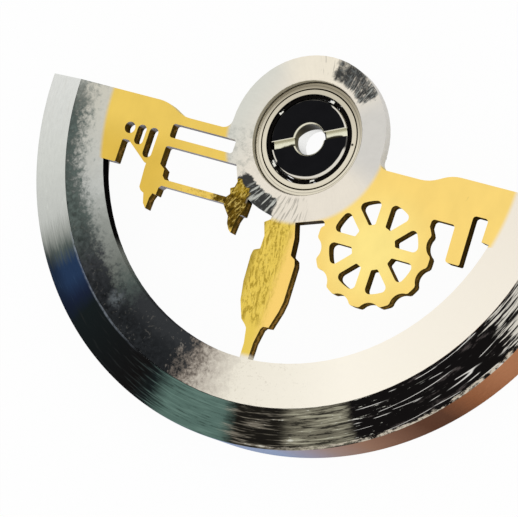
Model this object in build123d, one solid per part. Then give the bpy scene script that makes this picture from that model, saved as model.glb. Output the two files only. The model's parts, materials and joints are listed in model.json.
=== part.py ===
from build123d import *
import math
import os

# Automatic watch rotor: a half-disc winding weight on a five-ball bearing.
# A thin pierced plate carries a heavy segment along its rim and a round hub.
# The hub holds the bearing's outer race and the toothed ring that winds the watch.
# The inner core stands still on the movement, under a slotted cone.
# All sizes are in millimetres. The origin is on the turning axis, in the plane of the
# face that the inner core rests on. +Z points up, out of the movement, and the
# weight lies towards -Y, with its straight cut edge along X.

# Fits between pieces
PRESS_GAP = 0.01
BALL_GAP = 0.015
CAGE_GAP = 0.04
OVERRUN = 0.5

# Heights above the face that the core rests on
PLATE_TOP = 1.50
PLATE_THICK = 0.50
BEARING_DROP = 0.25
BALL_PLANE = 0.78

# Rim: the plate's flat band, and the heavy segment that it lies in
RIM_R = 12.75
BEVEL_WIDTH = 1.63
BAND_WIDTH = 1.80
LEDGE_WIDTH = 0.77
SEGMENT_DEPTH = 2.50
BEVEL_DROP = 0.32
RIM_EDGE = 0.08

# Hub
HUB_WIDTH = 1.05
HUB_FIT = 0.02
HUB_FILLET = 0.40
SHOULDER_ROUND = 1.60
PLATE_EDGE = 0.03

# Left arm: a shouldered block, three bars and a wedge-shaped opening. An inset is how far
# a point lies inside the band.
LEFT_SHOULDER_INSET = 2.62
LEFT_SHOULDER_RUN = 0.90
LEFT_STEP = 0.45
BAR_WIDTH = 0.38
SLIT_HEIGHT = 0.60
SLIT_LEFT_INSET = 3.22
SLIT_RIGHT_X = 3.02
SLIT_CORNER = 0.12
WINDOW_HEIGHT = 1.40
WINDOW_RIGHT_X = 2.66
WINDOW_SLANT = 0.32
LOW_BAR_WIDTH = 0.28
ARM_FOOT_Y = 3.03
WEDGE_LEFT_INSET = 1.10
WEDGE_TOP_Y = 2.00
WEDGE_APEX_INSET = 1.42
WEDGE_RIGHT_INSET = 2.48
WEDGE_LOW_Y = 2.74
WEDGE_CORNER = 0.10

# Left arm: a round hole and two upright slots
PORT_INSET = 1.27
PORT_Y = 1.47
PORT_R = 0.25
SLOT_WIDTH = 0.43
SLOT_TOP_Y = 1.22
SHORT_SLOT_INSET = 1.86
SHORT_SLOT_LENGTH = 0.86
LONG_SLOT_INSET = 2.45
LONG_SLOT_LENGTH = 1.30

# Left arm: the spired posts at the two ends of the low bar
OUTER_POST_INSET = 2.57
OUTER_POST_Y = 2.45
OUTER_POST_WIDTH = 1.13
OUTER_POST_HEIGHT = 2.13
INNER_POST_X = 2.66
INNER_POST_Y = 2.20
INNER_POST_WIDTH = 1.06
INNER_POST_HEIGHT = 2.38
POST_CORNER = 0.03

# Centre blade
BLADE_X = -0.70
BLADE_Y = 3.30
BLADE_WIDTH = 2.08
BLADE_CORNER = 0.05

# Scalloped wheel in the right arm
WHEEL_INSET = 4.94
WHEEL_Y = 3.58
WHEEL_R = 2.47
LOBE_COUNT = 12
SCALLOP_R = 0.55
SCALLOP_SINK = 0.23
LOBE_CHAMFER = 0.05
SPOKE_COUNT = 8
SPOKE_WIDTH = 0.45
BOSS_R = 0.92
WHEEL_RIM = 0.57
WINDOW_OUTER_CORNER = 0.20
WINDOW_INNER_CORNER = 0.08

# Right arm: shoulder, notch, prong and the slit beside the rim
RIGHT_SHOULDER_INSET = 2.67
RIGHT_SHOULDER_RUN = 0.85
RIGHT_STEP = 0.48
NECK_Y = 3.05
NECK_X = 1.98
NOTCH_OFFSET = 2.04
NOTCH_TOP_Y = 1.87
NOTCH_CORNER = 0.14
PRONG_LEFT_INSET = 1.89
PRONG_WIDTH = 0.62
PRONG_LEAN = 0.06
PRONG_TIP_Y = 3.38
PRONG_CORNER = 0.12
RIGHT_SLIT_TOP_Y = 1.32
RIGHT_SLIT_WIDTH = 0.65
RIGHT_FOOT_Y = 2.25

# Ball bearing
BALL_COUNT = 5
BALL_R = 0.30
BALL_CIRCLE_R = 1.7925
BALL_START_ANGLE = 7.0
BALL_SHOW = 0.185
RACE_WALL = 0.515
RACE_FLANGE_WIDTH = 0.45
RACE_FLANGE_THICK = 0.20
RACE_BOTTOM = 0.30
STAKE_GROOVE_INSET = 0.235
STAKE_GROOVE_WIDTH = 0.07
STAKE_GROOVE_DEPTH = 0.05
RACE_CHAMFER = 0.03

# Inner core and slotted cone
CONE_CHAMFER = 0.05
CORE_BORE_R = 0.65
BORE_CHAMFER = 0.04
CORE_SEAT_WALL = 0.65
CORE_SEAT_THICK = 0.20
CORE_NECK_WALL = 0.35
CORE_NECK_TOP = 0.95
DRIVE_SLOT_WIDTH = 0.34
DRIVE_SLOT_DEPTH = 0.20
DRIVE_SLOT_ANGLE = 24.0

# Ball cage
CAGE_RING_THICK = 0.08
CAGE_LEG_DROP = 0.22
POCKET_GAP = 0.035
CAGE_NOTCH_WIDTH = 0.24

# Toothed ring that drives the winding train
GEAR_RING_WIDTH = 0.70
GEAR_TEETH = 62
GEAR_THICK = 0.42

# Shares of each post's width and height, then of its corner radius, from its upper left corner
OUTER_POST_SHARES = [
    (0.00, 0.00, 0), (0.00, 0.24, 0), (0.05, 0.62, 0), (0.14, 0.68, 0), (0.30, 0.72, 0),
    (0.42, 0.91, 2), (0.58, 1.00, 0), (0.60, 0.78, 0), (0.67, 0.68, 0), (0.82, 0.69, 0),
    (0.84, 0.54, 0), (0.98, 0.46, 0), (1.00, 0.37, 0), (0.84, 0.29, 0), (0.82, 0.16, 0),
    (0.58, 0.08, 0), (0.58, 0.00, 0),
]
INNER_POST_SHARES = [
    (0.34, 0.00, 0), (0.30, 0.10, 0), (0.24, 0.22, 0), (0.08, 0.26, 0), (0.15, 0.36, 0),
    (0.03, 0.42, 0), (0.03, 0.57, 0), (0.25, 0.68, 0), (0.37, 0.74, 0), (0.43, 0.86, 2),
    (0.58, 0.96, 0), (0.70, 1.00, 0), (0.74, 0.77, 0), (0.82, 0.67, 0), (0.95, 0.66, 0),
    (0.97, 0.34, 0), (1.10, 0.20, 0), (0.90, 0.00, 0),
]

# Shares of the blade's width and height, then of its corner radius, from its upper left corner
BLADE_SHARES = [
    (0.17, -0.03, 0), (0.17, 0.05, 0), (0.05, 0.08, 0), (0.15, 0.17, 0), (0.15, 0.26, 0),
    (0.02, 0.28, 2), (0.00, 0.32, 4), (0.03, 0.50, 8), (0.10, 0.63, 8), (0.25, 0.75, 2),
    (0.36, 0.78, 0), (0.41, 0.80, 2), (0.47, 0.90, 4), (0.48, 1.04, 0), (0.66, 1.04, 0),
    (0.66, 0.88, 4), (0.71, 0.78, 0), (0.75, 0.76, 0), (0.87, 0.755, 0), (0.97, 0.63, 8),
    (1.00, 0.56, 6), (0.98, 0.31, 3), (0.94, 0.27, 2), (0.83, 0.25, 2), (0.79, 0.13, 3),
    (0.70, 0.03, 0), (0.70, -0.03, 0),
]

# Share of an edge that a corner's round may take, and the shortest round worth making
ROUND_REACH_SHARE = 0.46
FINEST_ROUND = 0.004

# Shares of a tooth's pitch that the flank points lie at: root, tip, tip, root
TOOTH_FLANK_SHARES = (0.10, 0.32, 0.68, 0.90)

PLATE_BOTTOM = PLATE_TOP - PLATE_THICK
BEARING_TOP = PLATE_TOP - BEARING_DROP
BAND_OUTER_R = RIM_R - BEVEL_WIDTH
BAND_INNER_R = BAND_OUTER_R - BAND_WIDTH
SEGMENT_INNER_R = BAND_OUTER_R - LEDGE_WIDTH
BLADE_HEIGHT = BAND_INNER_R - BLADE_Y
LEFT_SHOULDER_X = BAND_INNER_R - LEFT_SHOULDER_INSET
SLIT_LEFT_X = BAND_INNER_R - SLIT_LEFT_INSET
WEDGE_LEFT_X = BAND_INNER_R - WEDGE_LEFT_INSET
WEDGE_APEX_X = BAND_INNER_R - WEDGE_APEX_INSET
WEDGE_RIGHT_X = BAND_INNER_R - WEDGE_RIGHT_INSET
PORT_X = BAND_INNER_R - PORT_INSET
SHORT_SLOT_X = BAND_INNER_R - SHORT_SLOT_INSET
LONG_SLOT_X = BAND_INNER_R - LONG_SLOT_INSET
OUTER_POST_X = BAND_INNER_R - OUTER_POST_INSET
RIGHT_SHOULDER_X = BAND_INNER_R - RIGHT_SHOULDER_INSET
WHEEL_X = BAND_INNER_R - WHEEL_INSET
PRONG_LEFT_X = BAND_INNER_R - PRONG_LEFT_INSET
NOTCH_LEFT_X = WHEEL_X + NOTCH_OFFSET
LANE_REACH = (BALL_R + BALL_GAP) * math.sqrt(2)
CONE_R = BALL_CIRCLE_R - BALL_SHOW / 2
RACE_BORE_R = BALL_CIRCLE_R + BALL_SHOW / 2
RACE_BARREL_R = RACE_BORE_R + RACE_WALL
RACE_FLANGE_R = RACE_BARREL_R + RACE_FLANGE_WIDTH
STAKE_GROOVE_R = RACE_BORE_R + STAKE_GROOVE_INSET
CORE_SEAT_R = CORE_BORE_R + CORE_SEAT_WALL
CORE_NECK_R = CORE_BORE_R + CORE_NECK_WALL
HUB_BORE_R = RACE_BARREL_R + HUB_FIT
HUB_R = HUB_BORE_R + HUB_WIDTH
WINDOW_OUTER_R = WHEEL_R - WHEEL_RIM


def corner_arc(before, here, after, radius):
    """The start, middle and end of a corner's round, kept short of its neighbours."""
    back, ahead = before - here, after - here
    half = math.radians(back.get_angle(ahead)) / 2
    reach = min(radius / math.tan(half), ROUND_REACH_SHARE * min(back.length, ahead.length))
    if radius <= 0 or reach < FINEST_ROUND:
        return [here]
    arc_r = reach * math.tan(half)
    middle = here + (back.normalized() + ahead.normalized()).normalized() * (
        arc_r / math.sin(half) - arc_r)
    return [here + back.normalized() * reach, middle, here + ahead.normalized() * reach]


def rounded_face(corners):
    """A flat face from corners (x, y, radius), with each corner rounded by its radius."""
    points = [Vector(x, y) for x, y, radius in corners]
    rounds = [
        corner_arc(points[i - 1], points[i], points[(i + 1) % len(points)], corners[i][2])
        for i in range(len(points))
    ]
    edges = []
    for i, arc in enumerate(rounds):
        if len(arc) == 3:
            edges.append(ThreePointArc(*arc))
        edges.append(Line(arc[-1], rounds[(i + 1) % len(rounds)][0]))
    return make_face(edges)


def motif_face(shares, left, top, width, height, corner):
    """A face from shares of a box that starts at its upper left corner."""
    return rounded_face([
        (left + sx * width, -top - sy * height, scale * corner) for sx, sy, scale in shares
    ])


def box_face(left, right, top, bottom, corner):
    """An upright rectangle with equal round corners, or sharp ones if the corner is zero."""
    width, height = right - left, top - bottom
    if corner > 0:
        face = RectangleRounded(width, height, corner)
    else:
        face = Rectangle(width, height)
    return Pos((left + right) / 2, (top + bottom) / 2) * face


def ring_profile(corners):
    """A closed profile in the XZ plane from points (radius, height)."""
    return make_face(Plane.XZ * Polyline(*corners, close=True))


def half_band():
    """The plate's flat band: half a ring on the weight's side of the cut edge."""
    ring = Circle(BAND_OUTER_R) - Circle(BAND_INNER_R)
    return ring - box_face(-RIM_R, RIM_R, RIM_R, 0, 0)


def left_block():
    """The block that joins the left bars to the band, down to the wedge opening."""
    band_mid = (BAND_INNER_R + BAND_OUTER_R) / 2
    return rounded_face([
        (-band_mid, 0, 0),
        (-LEFT_SHOULDER_X, 0, SHOULDER_ROUND),
        (-LEFT_SHOULDER_X + LEFT_SHOULDER_RUN, -LEFT_STEP, SHOULDER_ROUND),
        (-LEFT_SHOULDER_X + 2 * LEFT_SHOULDER_RUN, -LEFT_STEP, 0),
        (-LEFT_SHOULDER_X + 2 * LEFT_SHOULDER_RUN, -LEFT_STEP - BAR_WIDTH, 0),
        (-SLIT_LEFT_X, -LEFT_STEP - BAR_WIDTH, 0),
        (-SLIT_LEFT_X, -WEDGE_LOW_Y, 0),
        (-WEDGE_RIGHT_X, -WEDGE_LOW_Y, WEDGE_CORNER),
        (-WEDGE_APEX_X, -WEDGE_TOP_Y, WEDGE_CORNER),
        (-WEDGE_LEFT_X, -WEDGE_TOP_Y, WEDGE_CORNER),
        (-WEDGE_LEFT_X, -ARM_FOOT_Y, WEDGE_CORNER / 2),
        (-band_mid, -ARM_FOOT_Y, 0),
    ])


def left_openings():
    """The slit, the window, the round hole and the two upright slots of the left arm."""
    slit_top = -LEFT_STEP - BAR_WIDTH
    window_top = slit_top - SLIT_HEIGHT - BAR_WIDTH
    window_low = window_top - WINDOW_HEIGHT
    slit = box_face(-SLIT_LEFT_X, -SLIT_RIGHT_X, slit_top, slit_top - SLIT_HEIGHT, SLIT_CORNER)
    window = rounded_face([
        (-SLIT_LEFT_X, window_top, SLIT_CORNER),
        (-WINDOW_RIGHT_X, window_top, SLIT_CORNER / 2),
        (-WINDOW_RIGHT_X + WINDOW_SLANT, window_top - WINDOW_HEIGHT / 2, SLIT_CORNER),
        (-WINDOW_RIGHT_X + WINDOW_SLANT, window_low, 0),
        (-SLIT_LEFT_X, window_low, 0),
    ])
    port = Pos(-PORT_X, -PORT_Y) * Circle(PORT_R)
    slots = [
        Pos(-x, -SLOT_TOP_Y - length / 2) * RectangleRounded(SLOT_WIDTH, length, SLOT_WIDTH / 2.1)
        for x, length in ((SHORT_SLOT_X, SHORT_SLOT_LENGTH), (LONG_SLOT_X, LONG_SLOT_LENGTH))
    ]
    return slit, window, port, slots


def left_arm(hub):
    """Hub and left arm together, with their openings cut and the two posts added."""
    slit, window, port, slots = left_openings()
    low_bar_bottom = -LEFT_STEP - 2 * BAR_WIDTH - SLIT_HEIGHT - WINDOW_HEIGHT - LOW_BAR_WIDTH
    bars_right = -INNER_POST_X + INNER_POST_WIDTH / 2
    bars = box_face(-SLIT_LEFT_X - SLIT_CORNER, bars_right, -LEFT_STEP, low_bar_bottom, 0)
    outer_post = motif_face(OUTER_POST_SHARES, -OUTER_POST_X, OUTER_POST_Y,
                            OUTER_POST_WIDTH, OUTER_POST_HEIGHT, POST_CORNER)
    inner_post = motif_face(INNER_POST_SHARES, -INNER_POST_X, INNER_POST_Y,
                            INNER_POST_WIDTH, INNER_POST_HEIGHT, POST_CORNER)
    face = hub + left_block() + bars - slit - window - port
    for slot in slots:
        face -= slot
    return face + outer_post + inner_post


def wheel_disc():
    """The wheel's outline: a disc with equal scallops, its lobes chamfered."""
    disc = Circle(WHEEL_R)
    for step in range(LOBE_COUNT):
        angle = 360 * (step + 0.5) / LOBE_COUNT
        disc -= Rot(0, 0, angle) * Pos(WHEEL_R - SCALLOP_SINK + SCALLOP_R, 0) * Circle(SCALLOP_R)
    return Pos(WHEEL_X, -WHEEL_Y) * chamfer(disc.vertices(), LOBE_CHAMFER)


def wheel_windows():
    """Rounded triangular windows between straight spokes, one for each spoke."""
    windows = Circle(WINDOW_OUTER_R) - Circle(BOSS_R)
    for step in range(SPOKE_COUNT // 2):
        windows -= Rot(0, 0, 360 * step / SPOKE_COUNT) * Rectangle(2 * WHEEL_R, SPOKE_WIDTH)
    middle = (BOSS_R + WINDOW_OUTER_R) / 2
    outer = windows.vertices().filter_by(lambda v: math.hypot(v.X, v.Y) > middle)
    windows = fillet(outer, WINDOW_OUTER_CORNER)
    inner = windows.vertices().filter_by(lambda v: math.hypot(v.X, v.Y) < middle)
    return Pos(WHEEL_X, -WHEEL_Y) * fillet(inner, WINDOW_INNER_CORNER)


def right_block():
    """The right arm from the hub to the band, with the notch, the prong and the slit."""
    band_mid = (BAND_INNER_R + BAND_OUTER_R) / 2
    prong_right = PRONG_LEFT_X + PRONG_WIDTH
    slit_right = prong_right + RIGHT_SLIT_WIDTH
    hub_inside = (HUB_R + HUB_BORE_R) / 2
    return rounded_face([
        (band_mid, 0, 0),
        (RIGHT_SHOULDER_X, 0, SHOULDER_ROUND),
        (RIGHT_SHOULDER_X - RIGHT_SHOULDER_RUN, -RIGHT_STEP, SHOULDER_ROUND),
        (hub_inside, -RIGHT_STEP, 0),
        (0, -hub_inside, 0),
        (NECK_X / 2.6, -HUB_R, 0),
        (NECK_X, -NECK_Y, NOTCH_CORNER),
        (NECK_X + NOTCH_CORNER, -WHEEL_Y, 0),
        (WHEEL_X, -WHEEL_Y, 0),
        (NOTCH_LEFT_X, -WHEEL_Y + WHEEL_R / 2, 0),
        (NOTCH_LEFT_X, -NOTCH_TOP_Y, NOTCH_CORNER),
        (PRONG_LEFT_X, -NOTCH_TOP_Y, NOTCH_CORNER),
        (PRONG_LEFT_X + PRONG_LEAN, -PRONG_TIP_Y, PRONG_CORNER),
        (prong_right + PRONG_LEAN, -PRONG_TIP_Y, PRONG_CORNER / 2),
        (prong_right, -RIGHT_SLIT_TOP_Y, NOTCH_CORNER),
        (slit_right, -RIGHT_SLIT_TOP_Y, NOTCH_CORNER),
        (slit_right, -RIGHT_FOOT_Y, 0),
        (band_mid, -RIGHT_FOOT_Y - NOTCH_CORNER, 0),
    ])


def hub_fillet(side, step):
    """The web in the corner between the hub and an arm whose upper edge lies a step down.

    Its hollow edge is a circle that touches both the hub and the arm's edge."""
    reach = HUB_R + HUB_FILLET
    rise = HUB_FILLET - step
    centre_x = side * math.sqrt(reach ** 2 - rise ** 2)
    on_hub = (centre_x * HUB_R / reach, rise * HUB_R / reach)
    corner = (side * math.sqrt(HUB_R ** 2 - step ** 2), -step)
    web = make_face(Polyline(on_hub, (centre_x, -step), corner, close=True))
    return web - Pos(centre_x, rise) * Circle(HUB_FILLET)


def plate_outline():
    """The whole plate seen from above, as one face."""
    face = left_arm(Sketch() + Circle(HUB_R)) + right_block() + wheel_disc() + half_band()
    face += hub_fillet(-1, LEFT_STEP)
    face += hub_fillet(1, RIGHT_STEP)
    face += motif_face(BLADE_SHARES, BLADE_X, BLADE_Y, BLADE_WIDTH, BLADE_HEIGHT, BLADE_CORNER)
    return face - wheel_windows()


def make_rotor_plate():
    """The pierced plate: its outline raised by the sheet's thickness, with a chamfered bore."""
    plate = Pos(0, 0, PLATE_BOTTOM) * extrude(plate_outline(), PLATE_THICK)
    bore = revolve(ring_profile([
        (0, PLATE_BOTTOM),
        (HUB_BORE_R, PLATE_BOTTOM),
        (HUB_BORE_R, PLATE_TOP - PLATE_EDGE),
        (HUB_BORE_R + PLATE_EDGE, PLATE_TOP),
        (0, PLATE_TOP),
    ]), Axis.Z, 360)
    return plate - bore


def make_heavy_segment():
    """Half a ring of heavy metal, with a bevelled top and a ledge that the plate lies on."""
    bottom = PLATE_TOP - SEGMENT_DEPTH
    profile = ring_profile([
        (SEGMENT_INNER_R, bottom),
        (RIM_R - RIM_EDGE, bottom),
        (RIM_R, bottom + RIM_EDGE),
        (RIM_R, PLATE_TOP - BEVEL_DROP - RIM_EDGE / 2),
        (RIM_R - RIM_EDGE / 2, PLATE_TOP - BEVEL_DROP),
        (BAND_OUTER_R + PRESS_GAP, PLATE_TOP),
        (BAND_OUTER_R + PRESS_GAP, PLATE_BOTTOM),
        (SEGMENT_INNER_R, PLATE_BOTTOM),
    ])
    return Rot(0, 0, 180) * revolve(profile, Axis.Z, 180)


def ball_lane():
    """The lane that the balls roll in: both races get a right-angled groove from it."""
    return revolve(ring_profile([
        (BALL_CIRCLE_R - LANE_REACH, BALL_PLANE),
        (BALL_CIRCLE_R, BALL_PLANE + LANE_REACH),
        (BALL_CIRCLE_R + LANE_REACH, BALL_PLANE),
        (BALL_CIRCLE_R, BALL_PLANE - LANE_REACH),
    ]), Axis.Z, 360)


def make_outer_race():
    """The outer race: a barrel in the hub, a flange under the plate and a grooved bore."""
    flange_bottom = PLATE_BOTTOM - RACE_FLANGE_THICK
    race = revolve(ring_profile([
        (RACE_BORE_R, RACE_BOTTOM),
        (RACE_BARREL_R, RACE_BOTTOM),
        (RACE_BARREL_R, flange_bottom),
        (RACE_FLANGE_R, flange_bottom),
        (RACE_FLANGE_R, PLATE_BOTTOM),
        (RACE_BARREL_R, PLATE_BOTTOM),
        (RACE_BARREL_R, BEARING_TOP - RACE_CHAMFER),
        (RACE_BARREL_R - RACE_CHAMFER, BEARING_TOP),
        (STAKE_GROOVE_R + STAKE_GROOVE_WIDTH / 2, BEARING_TOP),
        (STAKE_GROOVE_R, BEARING_TOP - STAKE_GROOVE_DEPTH),
        (STAKE_GROOVE_R - STAKE_GROOVE_WIDTH / 2, BEARING_TOP),
        (RACE_BORE_R + RACE_CHAMFER, BEARING_TOP),
        (RACE_BORE_R, BEARING_TOP - RACE_CHAMFER),
    ]), Axis.Z, 360)
    return race - ball_lane()


def make_inner_core():
    """The inner core: the seat, the lower cone and the neck that the slotted cone sits on."""
    core = revolve(ring_profile([
        (CORE_BORE_R, 0),
        (CORE_SEAT_R, 0),
        (CORE_SEAT_R, CORE_SEAT_THICK),
        (CONE_R, CORE_SEAT_THICK),
        (CONE_R, BALL_PLANE),
        (CORE_NECK_R, BALL_PLANE),
        (CORE_NECK_R, CORE_NECK_TOP),
        (CORE_BORE_R, CORE_NECK_TOP),
    ]), Axis.Z, 360)
    return core - ball_lane()


def make_slotted_cone():
    """The upper cone: a cap over the core's neck, with a straight slot for a driver."""
    neck_wall = CORE_NECK_R + PRESS_GAP
    cone = revolve(ring_profile([
        (neck_wall, BALL_PLANE),
        (CONE_R, BALL_PLANE),
        (CONE_R, BEARING_TOP - CONE_CHAMFER),
        (CONE_R - CONE_CHAMFER, BEARING_TOP),
        (CORE_BORE_R + BORE_CHAMFER, BEARING_TOP),
        (CORE_BORE_R, BEARING_TOP - BORE_CHAMFER),
        (CORE_BORE_R, CORE_NECK_TOP),
        (neck_wall, CORE_NECK_TOP),
    ]), Axis.Z, 360)
    slot = Box(2 * CONE_R + OVERRUN, DRIVE_SLOT_WIDTH, 2 * DRIVE_SLOT_DEPTH)
    return cone - ball_lane() - Pos(0, 0, BEARING_TOP) * Rot(0, 0, DRIVE_SLOT_ANGLE) * slot


def ball_angle(number):
    """The place of a ball round the axis, in degrees."""
    return BALL_START_ANGLE + 360 * number / BALL_COUNT


def make_ball(number):
    """One bearing ball, at rest in its pocket."""
    return Rot(0, 0, ball_angle(number)) * Pos(BALL_CIRCLE_R, 0, BALL_PLANE) * Sphere(BALL_R)


def make_ball_cage():
    """A crown cage: a ring over the balls, with legs between them and a notch over each."""
    inner, outer = CONE_R + CAGE_GAP, RACE_BORE_R - CAGE_GAP
    top = BALL_PLANE + BALL_R + POCKET_GAP + CAGE_RING_THICK
    bottom = BALL_PLANE - CAGE_LEG_DROP
    height = top - bottom
    middle = (inner + outer) / 2
    cage = Pos(0, 0, bottom + height / 2) * (Cylinder(outer, height) - Cylinder(inner, height))
    pocket_r = BALL_R + POCKET_GAP
    pocket = Rot(0, 90, 0) * Cylinder(pocket_r, OVERRUN)
    mouth = Pos(0, 0, -height / 2) * Box(OVERRUN, 2 * pocket_r, height)
    notch = Pos(OVERRUN / 2, 0, height / 2) * Box(OVERRUN, CAGE_NOTCH_WIDTH, height)
    for number in range(BALL_COUNT):
        place = Rot(0, 0, ball_angle(number)) * Pos(middle, 0, BALL_PLANE)
        cage -= place * (pocket + mouth)
        cage -= place * notch
    return cage


def make_drive_gear():
    """The toothed ring under the hub, pressed on the outer race's barrel."""
    pitch_r = RACE_BARREL_R + GEAR_RING_WIDTH
    module = 2 * pitch_r / GEAR_TEETH
    tip_r, root_r = pitch_r + module, pitch_r - 1.25 * module
    points = []
    for tooth in range(GEAR_TEETH):
        for share, radius in zip(TOOTH_FLANK_SHARES, (root_r, tip_r, tip_r, root_r)):
            angle = 2 * math.pi * (tooth + share) / GEAR_TEETH
            points.append((radius * math.cos(angle), radius * math.sin(angle)))
    face = make_face(Polyline(*points, close=True)) - Circle(RACE_BARREL_R + PRESS_GAP)
    top = PLATE_BOTTOM - RACE_FLANGE_THICK
    return Pos(0, 0, top - GEAR_THICK) * extrude(face, GEAR_THICK)


def build_parts():
    """Every piece by the name of its node."""
    parts = {
        "rotor_plate": make_rotor_plate(),
        "heavy_segment": make_heavy_segment(),
        "outer_race": make_outer_race(),
        "drive_gear": make_drive_gear(),
        "inner_core": make_inner_core(),
        "slotted_cone": make_slotted_cone(),
        "ball_cage": make_ball_cage(),
    }
    for number in range(BALL_COUNT):
        parts[f"ball_{number + 1}"] = make_ball(number)
    return parts


os.makedirs("parts", exist_ok=True)
for name, shape in build_parts().items():
    export_step(shape, f"parts/{name}.step")
    print(name, "volume", round(shape.volume, 4))
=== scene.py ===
import json
import math
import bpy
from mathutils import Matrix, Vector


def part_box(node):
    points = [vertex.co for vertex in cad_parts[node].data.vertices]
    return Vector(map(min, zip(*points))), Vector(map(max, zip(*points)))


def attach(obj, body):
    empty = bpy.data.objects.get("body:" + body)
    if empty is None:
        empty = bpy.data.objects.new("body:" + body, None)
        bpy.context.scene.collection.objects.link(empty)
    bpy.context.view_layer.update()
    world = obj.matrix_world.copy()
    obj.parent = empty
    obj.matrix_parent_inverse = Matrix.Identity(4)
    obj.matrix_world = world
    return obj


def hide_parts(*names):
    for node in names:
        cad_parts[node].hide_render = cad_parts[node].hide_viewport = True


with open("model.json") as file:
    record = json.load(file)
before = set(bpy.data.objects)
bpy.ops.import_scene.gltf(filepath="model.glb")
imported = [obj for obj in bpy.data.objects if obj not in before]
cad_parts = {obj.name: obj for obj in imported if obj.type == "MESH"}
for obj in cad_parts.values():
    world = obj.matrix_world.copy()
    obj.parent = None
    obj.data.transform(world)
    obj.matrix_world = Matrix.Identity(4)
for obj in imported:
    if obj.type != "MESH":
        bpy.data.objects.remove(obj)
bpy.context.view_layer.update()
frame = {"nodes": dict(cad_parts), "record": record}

from types import SimpleNamespace

import bmesh
import bpy
import numpy as np
from mathutils import Vector

bl_info = {
    "name": "Automatic watch rotor",
    "version": (1, 0, 0),
    "blender": (4, 5, 0),
    "location": "View3D > Sidebar > Watch rotor",
    "description": "Builds the dressed pieces of an automatic watch rotor around its packed frame",
    "category": "Object",
}

# Lengths in this file are written in millimetres and scaled once
MM = 0.001

# Sizes read from the frame, in millimetres
NODE_BOX = {name: np.array(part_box(name)) / MM for name in frame["nodes"]}
PLATE_LOW, PLATE_TOP = NODE_BOX["rotor_plate"][:, 2]
BAND_OUTER_R = NODE_BOX["rotor_plate"][1, 0]
RIM_R = NODE_BOX["heavy_segment"][1, 0]
SEGMENT_LOW = NODE_BOX["heavy_segment"][0, 2]
FLANGE_R = NODE_BOX["outer_race"][1, 0]
RACE_LOW, RACE_TOP = NODE_BOX["outer_race"][:, 2]
CONE_R = NODE_BOX["slotted_cone"][1, 0]
CONE_LOW, CONE_TOP = NODE_BOX["slotted_cone"][:, 2]
CORE_LOW, CORE_TOP = NODE_BOX["inner_core"][:, 2]
GEAR_TIP_R = NODE_BOX["drive_gear"][1, 1]
GEAR_LOW, GEAR_TOP = NODE_BOX["drive_gear"][:, 2]
BALL_NAMES = sorted(name for name in frame["nodes"] if name.startswith("ball_") and name != "ball_cage")
BALL_LOW, BALL_HIGH = NODE_BOX[BALL_NAMES[0]]
BALL_R = (BALL_HIGH[2] - BALL_LOW[2]) / 2
BALL_X, BALL_Y, BALL_PLANE = (BALL_LOW + BALL_HIGH) / 2
BALL_CIRCLE_R = math.hypot(BALL_X, BALL_Y)
RACE_BORE_R = 2 * BALL_CIRCLE_R - CONE_R

# Radii of the plate's hub and of its bore, and the flat band's width and inner radius
HUB_R = 3.47
HUB_BORE_R = 2.42
BAND_WIDTH = 1.80
BAND_INNER_R = BAND_OUTER_R - BAND_WIDTH

# Radii of the race's staking groove, of its fine turned line and of its dark joint with the hub
STAKE_R = 2.12
FINE_LINE_R = 2.255
JOINT_R = 2.36

# Share of white that metal seen at a slant keeps
EDGE_TINT = (0.6, 0.6, 0.6, 1.0)

# Shares of a tooth's pitch at which its outline turns
TOOTH_PHASE_SHARES = (0.0, 0.10, 0.32, 0.68, 0.90, 1.0)

# Points round a turned piece, a slotted half and one tooth, and from pole to pole and round a ball
SEGMENT_STEPS = 400
RACE_STEPS = 240
CORE_STEPS = 200
SLOT_STEPS = 160
TOOTH_STEPS = 20
BALL_STEPS = (25, 48)

# Merging distances for the plate's loose triangles and for the balls' poles
PLATE_MERGE = 0.0005
POLE_MERGE = 0.001

# The camera's film width, and the nearest and farthest that it sees
FILM_WIDTH = 36
NEAR, FAR = 5, 2000

# Whites of the floor and the sky
WHITE = (1.0, 1.0, 1.0, 1.0)
DULL_WHITE = (0.9, 0.9, 0.9, 1.0)


def channel(value):
    """One sRGB channel from 0 to 255 as linear light."""
    share = value / 255
    return share / 12.92 if share <= 0.04045 else ((share + 0.055) / 1.055) ** 2.4


def tint(red, green, blue):
    """A linear colour from sRGB channels from 0 to 255."""
    return (channel(red), channel(green), channel(blue), 1.0)


# Painted reflections: colours that the polished faces take from their surroundings, painted into their base
# colours
TINTS = {
    "pale": (219, 220, 216), "silver": (206, 208, 202), "dull silver": (190, 192, 187),
    "ash": (150, 153, 147), "pewter": (110, 114, 108), "slate": (78, 87, 83),
    "graphite": (50, 52, 54), "soot": (34, 36, 38), "black": (19, 17, 17),
    "navy": (36, 54, 82), "dark navy": (26, 34, 54), "moss": (23, 29, 30), "teal": (85, 109, 101),
    "tan grey": (108, 104, 90), "olive black": (28, 26, 22), "cream": (236, 230, 215),
    "warm cream": (250, 244, 230), "cool cream": (204, 201, 188), "late cream": (238, 230, 216),
    "dust": (186, 178, 166), "brown grey": (124, 115, 106), "sky": (158, 173, 204), "mist": (166, 160, 176),
    "rose grey": (168, 144, 136), "clay": (158, 122, 102), "clay brown": (134, 98, 80),
    "umber": (100, 67, 51), "brown": (154, 100, 68), "copper": (184, 126, 90), "light ash": (213, 213, 207),
    "dim tan": (160, 157, 137), "dark line": (54, 64, 62), "blue line": (50, 74, 104),
    "green line": (97, 122, 113), "bright line": (212, 207, 196), "grey line": (118, 112, 100),
    "dim line": (36, 38, 38),
}
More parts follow.
